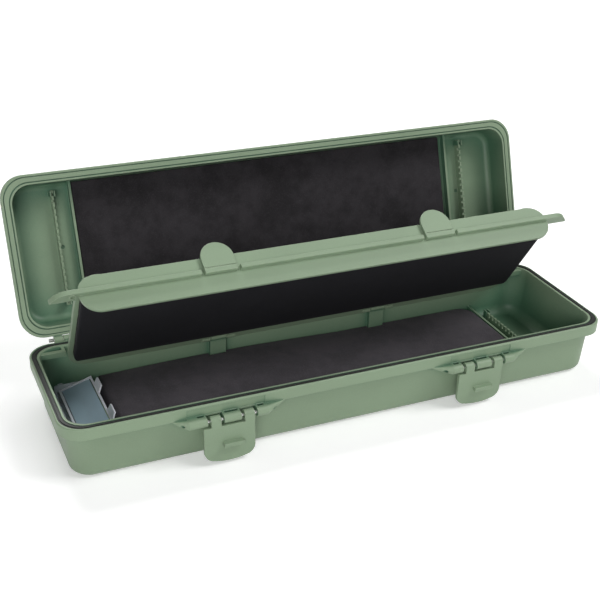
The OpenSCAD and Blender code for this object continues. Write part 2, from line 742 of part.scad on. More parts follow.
module insert_cover() {
  y0 = tray_y0 + tray_wall + cover_gap;
  y1 = tray_y1 - tray_wall - cover_gap;
  yl = y1 - y0;
  color(clear_blue) translate([cover_x, 0, cover_z]) rotate([0, -cover_open, 0]) {
    difference() {
      translate([-cover_t / 2, y0, -cover_t / 2]) cube([cover_l + cover_t / 2, yl, cover_t]);
      for (s = [0, 1]) translate([cover_band, y0 + cover_band, s ? window_t / 2 : -cover_t - window_t / 2])
        cube([cover_l - 2 * cover_band, yl - 2 * cover_band, cover_t]);
    }
    translate([0, tray_y0 + 0.2, 0]) rotate([-90, 0, 0])
      cylinder(h = tray_y1 - tray_y0 - 0.4, r = cover_pin_r);
    for (y = [y1 - 9 - ear_l, y1 - 41 - ear_l])
      translate([cover_l - 0.3, y, 0]) rotate([0, -ear_bend, 0])
        translate([-cover_t / 2, 0, -cover_t / 2]) cube([ear_h + cover_t / 2, ear_l, ear_t]);
  }
}

module lid_outer() {
  f = bottom_r;
  fz = lid_z + lid_flange_h;
  function lid_wall(z) = flange_out - 0.2 + draft * (z - fz);
  loft(concat(
    [ring(hl - 0.4, hw - 0.4, corner_r - 0.4, lid_z), ring(hl, hw, corner_r, lid_z + 0.4),
     ring(hl, hw, corner_r, fz), ring(hl - lid_wall(fz), hw - lid_wall(fz), body_r, fz)],
    [for (k = [0:5]) let (z = top_z - f * (1 - sin(k * 18)), e = lid_wall(z) + f * (1 - cos(k * 18)))
      ring(hl - e, hw - e, body_r - e + lid_wall(fz), z)]));
}

module lid_cavity() {
  f = ceiling_r;
  r = body_r - wall;
  loft(concat(
    [ring(hl - lid_rim_in, hw - lid_rim_in, rim_r(lid_rim_in), lid_z - 1),
     ring(hl - lid_rim_in, hw - lid_rim_in, rim_r(lid_rim_in), lid_z)],
    [for (k = [0:5]) let (z = ceiling_z - f * (1 - sin(k * 18)), e = lid_in(z) + f * (1 - cos(k * 18)))
      ring(hl - e, hw - e, r - e + lid_rim_in, z)]));
}

module lid_knuckle(x) {
  xrod(x, x + hinge_w, hinge_r, hinge_y, hinge_z);
  xprism(x, x + hinge_w, [[hw - 0.4, lid_z + 0.3], [hinge_y, lid_z + 0.3], [hinge_y, hinge_z + hinge_r],
    [hw - 0.4, lid_z + lid_flange_h - 0.3]]);
}

module lid_shell() {
  color(green) lid_pose() difference() {
    union() {
      difference() {
        lid_outer();
        lid_cavity();
        rim_band(lip_out + 0.25, lip_out + 0.85, lid_z - 1, lid_z + 1);
        rim_band(rim_in - 0.74, rim_in - 0.04, lid_z - 1, lid_z + 1);
      }
      for (s = [-1, 1])
        translate([s * (divider_x + 0.5) - divider_t / 2, -hw + 7, ceiling_z - lid_rib])
          cube([divider_t, box_w - 14, lid_rib + 0.3]);
      for (s = [-1, 1], k = [-1, 1])
        translate([s * comb_x, k * (comb_l / 2 - guide_l / 2 - 0.4) - 2.2, ceiling_z + 0.3])
          mirror([0, 0, 1]) comb_guides(comb_h + 1.6);
      for (s = [-1, 1], x = [hinge_end - hinge_w, hinge_end - 2 * hinge_w - 2 * hinge_gap - hinge_mid])
        scale([s, 1, 1]) lid_knuckle(x);
    }
    xrod(-hl, hl, hinge_pin_r + pin_clear, hinge_y, hinge_z);
    for (s = [-1, 1])
      translate([s * (comb_x - 2.6), -2.3, ceiling_z - 1]) cylinder(h = 2, r = 1.3);
  }
}

module lid_foam() {
  x1 = divider_x + 0.5 - divider_t / 2 - foam_gap;
  w1 = hw - lid_in(ceiling_z) - foam_gap;
  z1 = ceiling_z - 0.05;
  function foam_ring(e, z) = ring(x1 - lid_foam_gap / 2 - e, w1 - e, 1.2, z);
  color(charcoal) lid_pose() translate([-lid_foam_gap / 2, 0, 0]) loft([
    foam_ring(1.2, z1 - lid_foam_t), foam_ring(0.3, z1 - lid_foam_t * 0.86),
    foam_ring(ceiling_r * 0.15, z1 - lid_foam_t * 0.56),
    foam_ring(ceiling_r * 0.36, z1 - lid_foam_t * 0.28), foam_ring(ceiling_r * 0.95, z1)]);
}

module lid_comb(s) {
  color(green) lid_pose() translate([s * comb_x, -2.2, ceiling_z - 0.05]) mirror([0, 0, 1]) comb();
}

base_tub();
base_seal();
base_foam();
base_comb();
latch_pins();
lid_hinge_pins();
leaf_hinge_pins();
insert_tray();
insert_cover();
leaf_frame();
leaf_foam_lower();
leaf_foam_upper();
leaf_tab(-tab_x);  // leaf_tab_left
leaf_tab(tab_x);  // leaf_tab_right
translate([-latch_x, 0, 0]) latch(latch_lean_left);  // latch_left
translate([latch_x, 0, 0]) latch(latch_lean_right);  // latch_right
lid_shell();
lid_foam();
lid_comb(-1);  // lid_comb_left
lid_comb(1);  // lid_comb_right
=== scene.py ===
"""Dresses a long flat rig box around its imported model: moulded green shells with a grain, cut foam
sheets, a rubber seal, steel pins and a clear hook compartment, on a plain pale floor."""

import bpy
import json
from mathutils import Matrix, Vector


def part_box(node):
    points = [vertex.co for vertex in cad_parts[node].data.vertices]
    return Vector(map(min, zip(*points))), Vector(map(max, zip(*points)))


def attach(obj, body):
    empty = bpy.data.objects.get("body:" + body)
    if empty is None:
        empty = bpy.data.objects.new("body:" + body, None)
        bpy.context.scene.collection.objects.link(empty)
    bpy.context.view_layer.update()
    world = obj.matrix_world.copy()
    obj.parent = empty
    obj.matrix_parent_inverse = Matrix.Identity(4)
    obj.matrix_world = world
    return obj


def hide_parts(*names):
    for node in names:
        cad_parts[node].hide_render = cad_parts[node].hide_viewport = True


bl_info = {
    "name": "Rig Box",
    "version": (1, 0, 0),
    "blender": (4, 5, 0),
    "location": "View3D > Sidebar > Rig Box",
    "description": "Finishes and details for a long flat rig box",
    "category": "Object",
}

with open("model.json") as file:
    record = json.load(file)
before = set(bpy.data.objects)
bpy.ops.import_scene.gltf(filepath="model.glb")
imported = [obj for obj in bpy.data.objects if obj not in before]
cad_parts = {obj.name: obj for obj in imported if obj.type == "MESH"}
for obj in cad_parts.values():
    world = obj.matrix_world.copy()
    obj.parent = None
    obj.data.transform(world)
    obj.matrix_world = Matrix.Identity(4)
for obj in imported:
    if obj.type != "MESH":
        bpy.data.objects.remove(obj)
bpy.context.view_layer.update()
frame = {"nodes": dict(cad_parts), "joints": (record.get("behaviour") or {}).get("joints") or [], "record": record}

import json
import math

import bmesh
import bpy
from bpy.props import FloatProperty, FloatVectorProperty, PointerProperty
from bpy.types import Operator, Panel, PropertyGroup
from mathutils import Matrix, Vector, noise

NODES = frame["nodes"]
BODY_OF = {n: body for body, names in frame["record"]["behaviour"]["bodies"].items() for n in names}
JOINTS = {j["name"]: j for j in frame["joints"]}

SHELLS = ("base_tub", "lid_shell")
SMALL_MOULDINGS = ("leaf_frame", "leaf_tab_left", "leaf_tab_right", "latch_left", "latch_right",
                   "base_comb", "lid_comb_left", "lid_comb_right")
PINS = ("latch_pins", "lid_hinge_pins", "leaf_hinge_pins")

MERGED = 3e-6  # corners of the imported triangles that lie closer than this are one
FLAT = math.radians(0.3)  # faces that meet flatter than this are one wall
SHARP = math.radians(32.0)  # edges that bend more than this stay sharp

# The hook compartment's cover, drawn shut and level, and measured from the line of its hinge.
COVER_LOW, COVER_HIGH = (-0.00055, -0.0351), (0.0215, 0.0386)
COVER_HALF = 0.00055  # half its thickness
COVER_BAND = 0.002  # width of the frame round its pane
COVER_ROUND = 0.0002  # rounding along the edges of the frame and the ears

# Each light: its name, the setting that holds its power, its height and its side in degrees, with the
# front at 0, and how far away it stands in metres.
LIGHTS = (("Key light", "key", 52, 62, 3.2),
          ("Front light", "front", 20, -30, 1.9),
          ("Back light", "back", 50, 180, 1.9))
LIT = (0.0, 0.0, 0.05)  # the point that they all face

# The camera: where it stands, its axes to the right and up, and the shift of its picture.
CAMERA_AT = (-0.25972, -0.52214, 0.36340)
CAMERA_RIGHT = (0.92183, -0.38694, 0.02250)
CAMERA_UP = (0.17387, 0.46471, 0.86822)
CAMERA_SHIFT = (0.0357, 0.0697)


def length(name, description, default, low, high):
    return FloatProperty(name=name, description=description, default=default, min=low, max=high,
                         subtype="DISTANCE", unit="LENGTH", precision=5)


def power(name, description, default):
    return FloatProperty(name=name, description=description, default=default, min=0.0, max=200.0, unit="POWER")


def colour(name, description, default):
    return FloatVectorProperty(name=name, description=description, default=default, size=3,
                               subtype="COLOR", min=0.0, max=1.0)


class RigBoxColours(PropertyGroup):
    """Colours of the finishes"""
    plastic: colour("Plastic", "Green of the mouldings", (0.252, 0.342, 0.226))
    # Painted shade: the darker green that the shells take down in their recesses stands in for the shade that falls
    # there.
    painted_recess_shade: colour("Painted recess shade", "Deeper green down in the recesses", (0.082, 0.185, 0.115))
    # Rubbed wear and painted highlight: the paler green along the edges is partly rubbing and partly stands in for
    # the light that the edges catch.
    rubbed_and_highlit: colour("Rubbed and highlit edge", "Paler green where edges are rubbed", (0.50, 0.57, 0.43))
    seal: colour("Seal", "Rubber of the lid seal", (0.027, 0.029, 0.027))
    # Painted light: the same foam as in the lid, made paler to stand in for the light that falls on the bed.
    bed_foam: colour("Bed foam", "Foam in the base", (0.082, 0.075, 0.084))
    lid_foam: colour("Lid foam", "Foam in the lid", (0.030, 0.0275, 0.0305))
    # Painted shade: the same foam made darker, standing in for the shade on the leaf's sheets, which face
    # downwards.
    leaf_foam: colour("Leaf foam", "Foam on the leaf", (0.0115, 0.0114, 0.0142))
    steel: colour("Steel", "Pins of all hinges", (0.72, 0.72, 0.70))
    tray: colour("Tray", "Tint of the hook compartment's tray", (0.80, 0.84, 0.90))
    cover: colour("Cover", "Milky frame and ears of the compartment's cover", (0.88, 0.90, 0.97))
    pane: colour("Pane", "Smoky pane of the compartment's cover", (0.47, 0.62, 0.72))


class RigBoxSizes(PropertyGroup):
    """Sizes of the finishes and of the foam"""
    edge_round: length("Edge rounding", "Radius that the moulded edges shade with", 0.00032, 0.0, 0.002)
    grain: length("Grain", "Size of the moulded texture", 0.00035, 0.0001, 0.002)
    cell: length("Foam cell", "Size of the cut foam's cells", 0.0006, 0.0002, 0.003)
    net: length("Foam net", "Step of the net that the foam's surface is shaped on", 0.0028, 0.0015, 0.01)
    swell: length("Foam swell", "Height of the soft hollows in a foam sheet", 0.00035, 0.0, 0.001)


class RigBoxStage(PropertyGroup):
    """Camera, floor and light"""
    lens: FloatProperty(name="Lens", description="Focal length of the camera in millimetres",
                        default=63.24, min=20.0, max=200.0)
    floor: colour("Floor", "Colour of the floor", (0.86, 0.86, 0.86))
    lift: FloatProperty(name="Floor lift", description="Light that the camera sees added to the floor",
                        default=0.36, min=0.0, max=1.0)
    key: power("Key light", "Power of the high light on the right", 53.0)
    front: power("Front light", "Power of the low light in front", 13.5)
    back: power("Back light", "Power of the light behind the lid", 20.0)
    sky: FloatProperty(name="Sky", description="Strength of the even light from all sides",
                       default=0.14, min=0.0, max=2.0)


# ---- shader nodes ----


class Nodes:
    """Adds nodes to one tree and links them, with short words for both."""

    def __init__(self, tree):
        self.tree = tree
        self.x = -1400

    def add(self, kind, /, values=None, **settings):
        node = self.tree.nodes.new(kind)
        node.location = (self.x, 0)
        self.x += 60
        for key, value in settings.items():
            setattr(node, key, value)
        for key, value in (values or {}).items():
            self.put(node.inputs[key], value)
        return node

    def put(self, socket, value):
        if isinstance(value, bpy.types.NodeSocket):
            self.tree.links.new(value, socket)
        elif isinstance(value, (tuple, list)) and len(value) == 3 and socket.type == "RGBA":
            socket.default_value = (*value, 1.0)
        else:
            socket.default_value = value

    def math(self, operation, a, b=0.0, c=0.0):
        node = self.add("ShaderNodeMath", operation=operation)
        for socket, value in zip(node.inputs, (a, b, c)):
            self.put(socket, value)
        return node.outputs[0]

    def mix(self, factor, a, b, blend="MIX"):
        """Two colours mixed: inputs 6 and 7 of the node are its colours, and output 2 is the mixed one."""
        node = self.add("ShaderNodeMix", data_type="RGBA", blend_type=blend)
        self.put(node.inputs[0], factor)
        self.put(node.inputs[6], a)
        self.put(node.inputs[7], b)
        return node.outputs[2]

    def scaled(self, base, value, amount):
        """base made lighter or darker by value, from -1 to 1, times amount."""
        gain = self.around(1.0, value, amount)
        grey = self.add("ShaderNodeCombineColor", {0: gain, 1: gain, 2: gain}).outputs[0]
        return self.mix(1.0, base, grey, "MULTIPLY")

    def noise(self, vector, size, detail, rough):
        return self.add("ShaderNodeTexNoise", {"Vector": vector, "Scale": 1.0 / size, "Detail": detail,
                                               "Roughness": rough}).outputs["Fac"]

    def stretched(self, vector, scale):
        return self.add("ShaderNodeMapping", {"Vector": vector, "Scale": scale}).outputs[0]

    def ramp(self, value, low, high, to_low=0.0, to_high=1.0):
        """value carried smoothly from low..high to to_low..to_high."""
        ends = {"From Min": low, "From Max": high, "To Min": to_low, "To Max": to_high}
        return self.add("ShaderNodeMapRange", {"Value": value, **ends}, interpolation_type="SMOOTHSTEP").outputs[0]

    def around(self, middle, value, spread):
        """middle plus value, from -1 to 1 or from 0 to 1, times spread."""
        return self.math("MULTIPLY_ADD", value, spread, middle)

    def bump(self, height, strength, distance, normal=None):
        values = {"Strength": strength, "Distance": distance, "Height": height}
        if normal is not None:
            values["Normal"] = normal
        return self.add("ShaderNodeBump", values).outputs[0]

    def group(self, name, **values):
        return self.add("ShaderNodeGroup", values, node_tree=bpy.data.node_groups[name]).outputs


def new_group(name, size, default, outputs):
    """An empty shader group that is given a place and one size: its nodes, its inputs and its outputs.

    An output named Normal is a vector, and every other one is a number."""
    tree = bpy.data.node_groups.new(name, "ShaderNodeTree")
    tree.interface.new_socket(name="Vector", in_out="INPUT", socket_type="NodeSocketVector")
    tree.interface.new_socket(name=size, in_out="INPUT", socket_type="NodeSocketFloat").default_value = default
    for socket in outputs:
        kind = "NodeSocketVector" if socket == "Normal" else "NodeSocketFloat"
        tree.interface.new_socket(name=socket, in_out="OUTPUT", socket_type=kind)
    nodes = Nodes(tree)
    start = nodes.add("NodeGroupInput")
    end = nodes.add("NodeGroupOutput")
    return nodes, start.outputs, end.inputs


def make_edge_wear_and_highlight():
    """Rounded edge normals, and a mask in patches along the edges, which pales them partly as rubbed wear and
    partly as a painted highlight.
    """
    n, given, out = new_group("Edge wear", "Radius", 0.0004, ("Mask", "Normal"))
    rounded = n.add("ShaderNodeBevel", {"Radius": given["Radius"]}, samples=6).outputs[0]
    plain = n.add("ShaderNodeNewGeometry").outputs["Normal"]
    turn = n.add("ShaderNodeVectorMath", {0: rounded, 1: plain}, operation="DOT_PRODUCT").outputs["Value"]
    edge = n.ramp(turn, 0.995, 0.86)
    patches = n.noise(given["Vector"], size=0.011, detail=4.0, rough=0.6)
    n.put(out["Mask"], n.math("MULTIPLY", edge, n.ramp(patches, 0.38, 0.68, 0.25, 1.0)))
    n.put(out["Normal"], rounded)


def make_moulded_grain():
    """Fine stipple of a textured mould, with soft flow marks and a tone that drifts over the wall."""
    n, given, out = new_group("Moulded grain", "Size", 0.0004, ("Height", "Tone", "Speck"))
    place = given["Vector"]
    net = {"Vector": place, "Scale": n.math("DIVIDE", 1.0, given["Size"])}
    fine = n.add("ShaderNodeTexNoise", {**net, "Detail": 2.0, "Roughness": 0.6}).outputs["Fac"]
    stipple = n.add("ShaderNodeTexVoronoi", net, feature="SMOOTH_F1").outputs["Distance"]
    wave = n.noise(place, size=0.006, detail=2.0, rough=0.5)
    height = n.math("ADD", n.math("MULTIPLY", fine, 0.55), n.math("MULTIPLY", stipple, 0.35))
    n.put(out["Height"], n.math("ADD", height, n.math("MULTIPLY", wave, 0.5)))
    drift = n.noise(n.stretched(place, (0.35, 1.0, 1.0)), size=0.045, detail=3.0, rough=0.55)
    n.put(out["Tone"], n.ramp(drift, 0.3, 0.7, -1.0, 1.0))
    n.put(out["Speck"], n.ramp(fine, 0.3, 0.75, -1.0, 1.0))


def make_foam_cells():
    """Open cells of a cut sheet, with cloudy rubbed patches and pale dust specks."""
    n, given, out = new_group("Foam cells", "Size", 0.0006, ("Height", "Cloud", "Speck"))
    place = given["Vector"]
    net = {"Vector": place, "Scale": n.math("DIVIDE", 1.0, given["Size"])}
    cells = n.add("ShaderNodeTexVoronoi", {**net, "Randomness": 1.0}, feature="F1").outputs["Distance"]
    fine = n.add("ShaderNodeTexNoise", {**net, "Detail": 3.0, "Roughness": 0.7}).outputs["Fac"]
    n.put(out["Height"], n.math("ADD", n.math("MULTIPLY", cells, 0.7), n.math("MULTIPLY", fine, 0.5)))
    big = n.noise(place, size=0.034, detail=3.0, rough=0.55)
    small = n.noise(place, size=0.007, detail=3.0, rough=0.6)
    cloud = n.math("ADD", n.math("MULTIPLY", big, 0.65), n.math("MULTIPLY", small, 0.35))
    n.put(out["Cloud"], n.ramp(cloud, 0.36, 0.64, -1.0, 1.0))
    n.put(out["Speck"], n.ramp(fine, 0.5, 0.72))


def material(name):
    """A new material, its nodes, the place of the shaded point and the inputs of its shader."""
    made = bpy.data.materials.new(name)
    made.use_nodes = True
    made.node_tree.nodes.clear()
    nodes = Nodes(made.node_tree)
    place = nodes.add("ShaderNodeTexCoord").outputs["Object"]
    shader = nodes.add("ShaderNodeBsdfPrincipled")
    end = nodes.add("ShaderNodeOutputMaterial")
    nodes.put(end.inputs["Surface"], shader.outputs[0])
    return made, nodes, place, shader.inputs


def green_plastic(name, colours, sizes, shade_recesses):
    """Moulded green, paler along its edges as rubbed wear and as a painted highlight, and, when asked, darker down
    in its recesses as painted shade.
    """
    made, n, place, into = material(name)
    edge_wear_and_highlight = n.group("Edge wear", Vector=place, Radius=sizes.edge_round)
    grain = n.group("Moulded grain", Vector=place, Size=sizes.grain)
    tone = tuple(colours.plastic)
    if shade_recesses:
        # Painted shade: ambient occlusion carries the green towards the recess colour where shade falls in the
        # recesses.
        painted_shade_ao = n.add("ShaderNodeAmbientOcclusion", {"Distance": 0.05}, samples=8, only_local=True).outputs["AO"]
        tone = n.mix(n.ramp(painted_shade_ao, 0.9, 0.4), tone, tuple(colours.painted_recess_shade))
    tone = n.scaled(tone, grain["Tone"], amount=0.05)
    tone = n.scaled(tone, grain["Speck"], amount=0.05)
    # Paler edges: partly rubbed wear, partly a painted highlight.
    n.put(into["Base Color"], n.mix(n.math("MULTIPLY", edge_wear_and_highlight["Mask"], 0.7), tone, tuple(colours.rubbed_and_highlit)))
    rough = n.around(0.47, grain["Tone"], spread=0.03)
    n.put(into["Roughness"], n.around(rough, edge_wear_and_highlight["Mask"], spread=-0.12))
    n.put(into["Normal"], n.bump(grain["Height"], strength=0.35, distance=0.00004, normal=edge_wear_and_highlight["Normal"]))
    into["IOR"].default_value = 1.45
    return made


def seal_rubber(colours):
    made, n, place, into = material("seal_rubber")
    edge_wear_and_highlight = n.group("Edge wear", Vector=place, Radius=0.0003)
    grain = n.group("Moulded grain", Vector=place, Size=0.0005)
    tone = n.scaled(tuple(colours.seal), grain["Tone"], amount=0.15)
    # Paler along its edges: partly rubbed rubber, partly a painted highlight where the seal's ridge catches light.
    rubbed_and_highlit_rubber = (0.10, 0.11, 0.10)
    n.put(into["Base Color"], n.mix(n.math("MULTIPLY", edge_wear_and_highlight["Mask"], 0.35), tone, rubbed_and_highlit_rubber))
    n.put(into["Roughness"], n.around(0.52, grain["Speck"], spread=0.05))
    n.put(into["Normal"], n.bump(grain["Height"], strength=0.3, distance=0.00004, normal=edge_wear_and_highlight["Normal"]))
    return made


def cut_foam(name, tint, sizes, cloud):
    """Foam whose tone drifts by the share cloud, with specks of paler dust."""
    made, n, place, into = material(name)
    cells = n.group("Foam cells", Vector=place, Size=sizes.cell)
    tone = n.scaled(tint, cells["Cloud"], cloud)
    dust = tuple(c * 2.3 for c in tint)
    n.put(into["Base Color"], n.mix(n.math("MULTIPLY", cells["Speck"], 0.4), tone, dust))
    n.put(into["Roughness"], n.around(0.9, cells["Cloud"], spread=0.04))
    n.put(into["Normal"], n.bump(cells["Height"], strength=0.7, distance=0.00016))
    into["Sheen Weight"].default_value = 0.03
    into["Sheen Roughness"].default_value = 0.5
    into["Specular IOR Level"].default_value = 0.18
    return made


def pin_steel(colours):
    made, n, place, into = material("pin_steel")
    lines = n.noise(n.stretched(place, (0.25, 6.0, 6.0)), size=0.002, detail=3.0, rough=0.6)
    spots = n.noise(place, size=0.0015, detail=3.0, rough=0.6)
    n.put(into["Base Color"], n.scaled(tuple(colours.steel), n.ramp(spots, 0.35, 0.7, -1.0, 1.0), amount=0.12))
    into["Metallic"].default_value = 1.0
    n.put(into["Roughness"], n.ramp(lines, 0.3, 0.7, 0.24, 0.4))
    n.put(into["Normal"], n.bump(lines, strength=0.25, distance=0.00002))
    return made


def clear_plastic(name, tint, clearness, haze):
    """Frosted plastic that lets this share of the light through."""
    made, n, place, into = material(name)
    streaks = n.noise(n.stretched(place, (1.0, 0.4, 1.0)), size=0.01, detail=3.0, rough=0.5)
    frost = n.noise(place, size=0.0006, detail=2.0, rough=0.6)
    n.put(into["Base Color"], n.scaled(tint, n.ramp(streaks, 0.3, 0.7, -1.0, 1.0), amount=0.05))
    n.put(into["Roughness"], n.ramp(frost, 0.3, 0.7, haze, haze + 0.06))
    n.put(into["Normal"], n.bump(frost, strength=0.15, distance=0.00002))
    into["Transmission Weight"].default_value = clearness
    into["IOR"].default_value = 1.35
    return made


# ---- meshes ----


def give(obj, made):
    obj.data.materials.clear()
    obj.data.materials.append(made)


def new_object(name, data):
    obj = bpy.data.objects.new(name, data)
    bpy.context.scene.collection.objects.link(obj)
    return obj


def mesh_object(bm, name):
    """A new object at the origin that holds this bmesh."""
    mesh = bpy.data.meshes.new(name)
    bm.to_mesh(mesh)
    bm.free()
    return new_object(name, mesh)


def place_mesh(bm, name, body):
    """A new object at the origin that holds this bmesh and rides on a body."""
    obj = mesh_object(bm, name)
    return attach(obj, body)


def smooth_copy(node, name):
    """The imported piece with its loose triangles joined, its flat walls whole and its curves smooth."""
    bm = bmesh.new()
    bm.from_mesh(NODES[node].data)
    bmesh.ops.remove_doubles(bm, verts=bm.verts[:], dist=MERGED)
    bmesh.ops.dissolve_limit(bm, angle_limit=FLAT, verts=bm.verts[:], edges=bm.edges[:])
    for face in bm.faces:
        face.smooth = True
    for edge in bm.edges:
        edge.smooth = len(edge.link_faces) == 2 and edge.calc_face_angle(math.pi) < SHARP
    obj = place_mesh(bm, name, BODY_OF[node])
    even = obj.modifiers.new("Even shading", "WEIGHTED_NORMAL")
    even.keep_sharp = True
    even.weight = 100
    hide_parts(node)
    return obj


def turned(joint, axis="X"):
    """Places what is drawn shut where its body stands at rest."""
    found = JOINTS[joint]
    at = Vector(found["pos_m"])
    angle = -math.radians(found["range_deg"][1])
    return Matrix.Translation(at) @ Matrix.Rotation(angle, 4, axis) @ Matrix.Translation(-at)


def bevel(bm, edges, offset, segments):
    bmesh.ops.bevel(bm, geom=edges, offset=offset, offset_type="OFFSET", segments=segments, profile=0.5,
                    affect="EDGES", material=-1, clamp_overlap=True)


def cut_plane(bm, at, normal, clear_outer=False):
    bmesh.ops.bisect_plane(bm, geom=bm.verts[:] + bm.edges[:] + bm.faces[:], dist=1e-6, plane_co=at,
                           plane_no=normal, clear_outer=clear_outer)


def cut_net(bm, low, high, step):
    """Cuts a mesh along evenly spaced lines in X and Y, so that its faces can be shaped."""
    for axis in (0, 1):
        count = max(2, round((high[axis] - low[axis]) / step))
        for i in range(1, count):
            at = [0.0, 0.0, 0.0]
            normal = [0.0, 0.0, 0.0]
            at[axis] = low[axis] + (high[axis] - low[axis]) * i / count
            normal[axis] = 1.0
            cut_plane(bm, at, normal)


def slab(bm, low, high):
    """Adds a plate between two corners, and gives back its eight corners."""
    corners = bmesh.ops.create_cube(bm, size=1.0)["verts"]
    for v in corners:
        for k in range(3):
            v.co[k] = high[k] if v.co[k] > 0 else low[k]
    return corners


def edges_at(corners):
    """The edges that meet at these corners, each once."""
    return list(dict.fromkeys(e for v in corners for e in v.link_edges))


def foam_block(outline, low, high, rounding, soften, step):
    """A cut block from an outline in X and Y, with its upright corners rounded and its upper rim soft."""
    bm = bmesh.new()
    face = bm.faces.new([bm.verts.new((x, y, low)) for x, y in outline])
    made = bmesh.ops.extrude_face_region(bm, geom=[face])["geom"]
    upper = [v for v in made if isinstance(v, bmesh.types.BMVert)]
    bmesh.ops.translate(bm, verts=upper, vec=(0, 0, high - low))
    bmesh.ops.recalc_face_normals(bm, faces=bm.faces[:])
    for radius, corners in rounding:
        edges = [e for e in bm.edges if abs(e.verts[0].co.z - e.verts[1].co.z) > (high - low) / 2
                 and any((e.verts[0].co.xy - Vector(c)).length < 1e-5 for c in corners)]
        bevel(bm, edges, radius, segments=7)
    bevel(bm, [e for e in bm.edges if all(v.co.z > high - 1e-6 for v in e.verts)], soften, segments=3)
    xs, ys = [p[0] for p in outline], [p[1] for p in outline]
    cut_net(bm, (min(xs), min(ys)), (max(xs), max(ys)), step)
    for face in bm.faces:
        face.smooth = True
    return bm


def soften_faces(bm, low, high, swell, seed, crown=None):
    """Raises and lowers the upper side of a foam sheet, and lets its cut edges waver."""
    margin, reach, ragged = 0.006, 0.004, 0.0003
    xs = [v.co.x for v in bm.verts]
    ys = [v.co.y for v in bm.verts]
    x0, x1, y0, y1 = min(xs), max(xs), min(ys), max(ys)
    for v in bm.verts:
        x, y, z = v.co
        up = max(0.0, min(1.0, (z - low) / (high - low)))
        inside = min(1.0, min(x - x0, x1 - x, y - y0, y1 - y) / margin)
        broad = noise.noise(Vector((x * 22 + seed, y * 30, seed)))
        small = noise.noise(Vector((x * 70, y * 80, seed + 3)))
        rise = swell * (broad * 0.7 + small * 0.3) * inside
        if crown:
            rise += crown(x, y)
        v.co.z += rise * up
        waver = ragged * abs(noise.noise(Vector((x * 90 + seed, y * 90, z * 40)))) * (1 - inside)
        v.co.x += waver * max(0.0, 1 - (x - x0) / reach) - waver * max(0.0, 1 - (x1 - x) / reach)


def tuck_foot(bm, low, reach, narrowing, past, power=2.0):
    """Draws the foot of a sheet's long sides inward, to clear the fillet inside its shell."""
    for v in bm.verts:
        if abs(v.co.y) > past:
            v.co.y *= 1.0 - narrowing * max(0.0, 1.0 - (v.co.z - low) / reach) ** power


# ---- pieces ----


class RIGBOX_OT_mouldings(Operator):
    """Gives every green moulding smooth curves, rounded edges and the moulded grain"""
    bl_idname = "rigbox.mouldings"
    bl_label = "Green mouldings"

    def execute(self, context):
        scene = context.scene
        # Only the shells take the painted shade in their recesses.
        shell = green_plastic("green_shell", scene.rigbox_colours, scene.rigbox_sizes, shade_recesses=True)
        small = green_plastic("green_small", scene.rigbox_colours, scene.rigbox_sizes, shade_recesses=False)
        for node in SHELLS + SMALL_MOULDINGS:
            give(smooth_copy(node, node + "_moulding"), shell if node in SHELLS else small)
        return {"FINISHED"}


class RIGBOX_OT_seal(Operator):
    """Gives the lid seal its dark rubber"""
    bl_idname = "rigbox.seal"
    bl_label = "Seal"

    def execute(self, context):
        made = seal_rubber(context.scene.rigbox_colours)
        give(smooth_copy("base_seal", "base_seal_rubber"), made)
        return {"FINISHED"}


class RIGBOX_OT_pins(Operator):
    """Gives the hinge pins drawn steel"""
    bl_idname = "rigbox.pins"
    bl_label = "Hinge pins"

    def execute(self, context):
        made = pin_steel(context.scene.rigbox_colours)
        for node in PINS:
            give(smooth_copy(node, node + "_steel"), made)
        return {"FINISHED"}


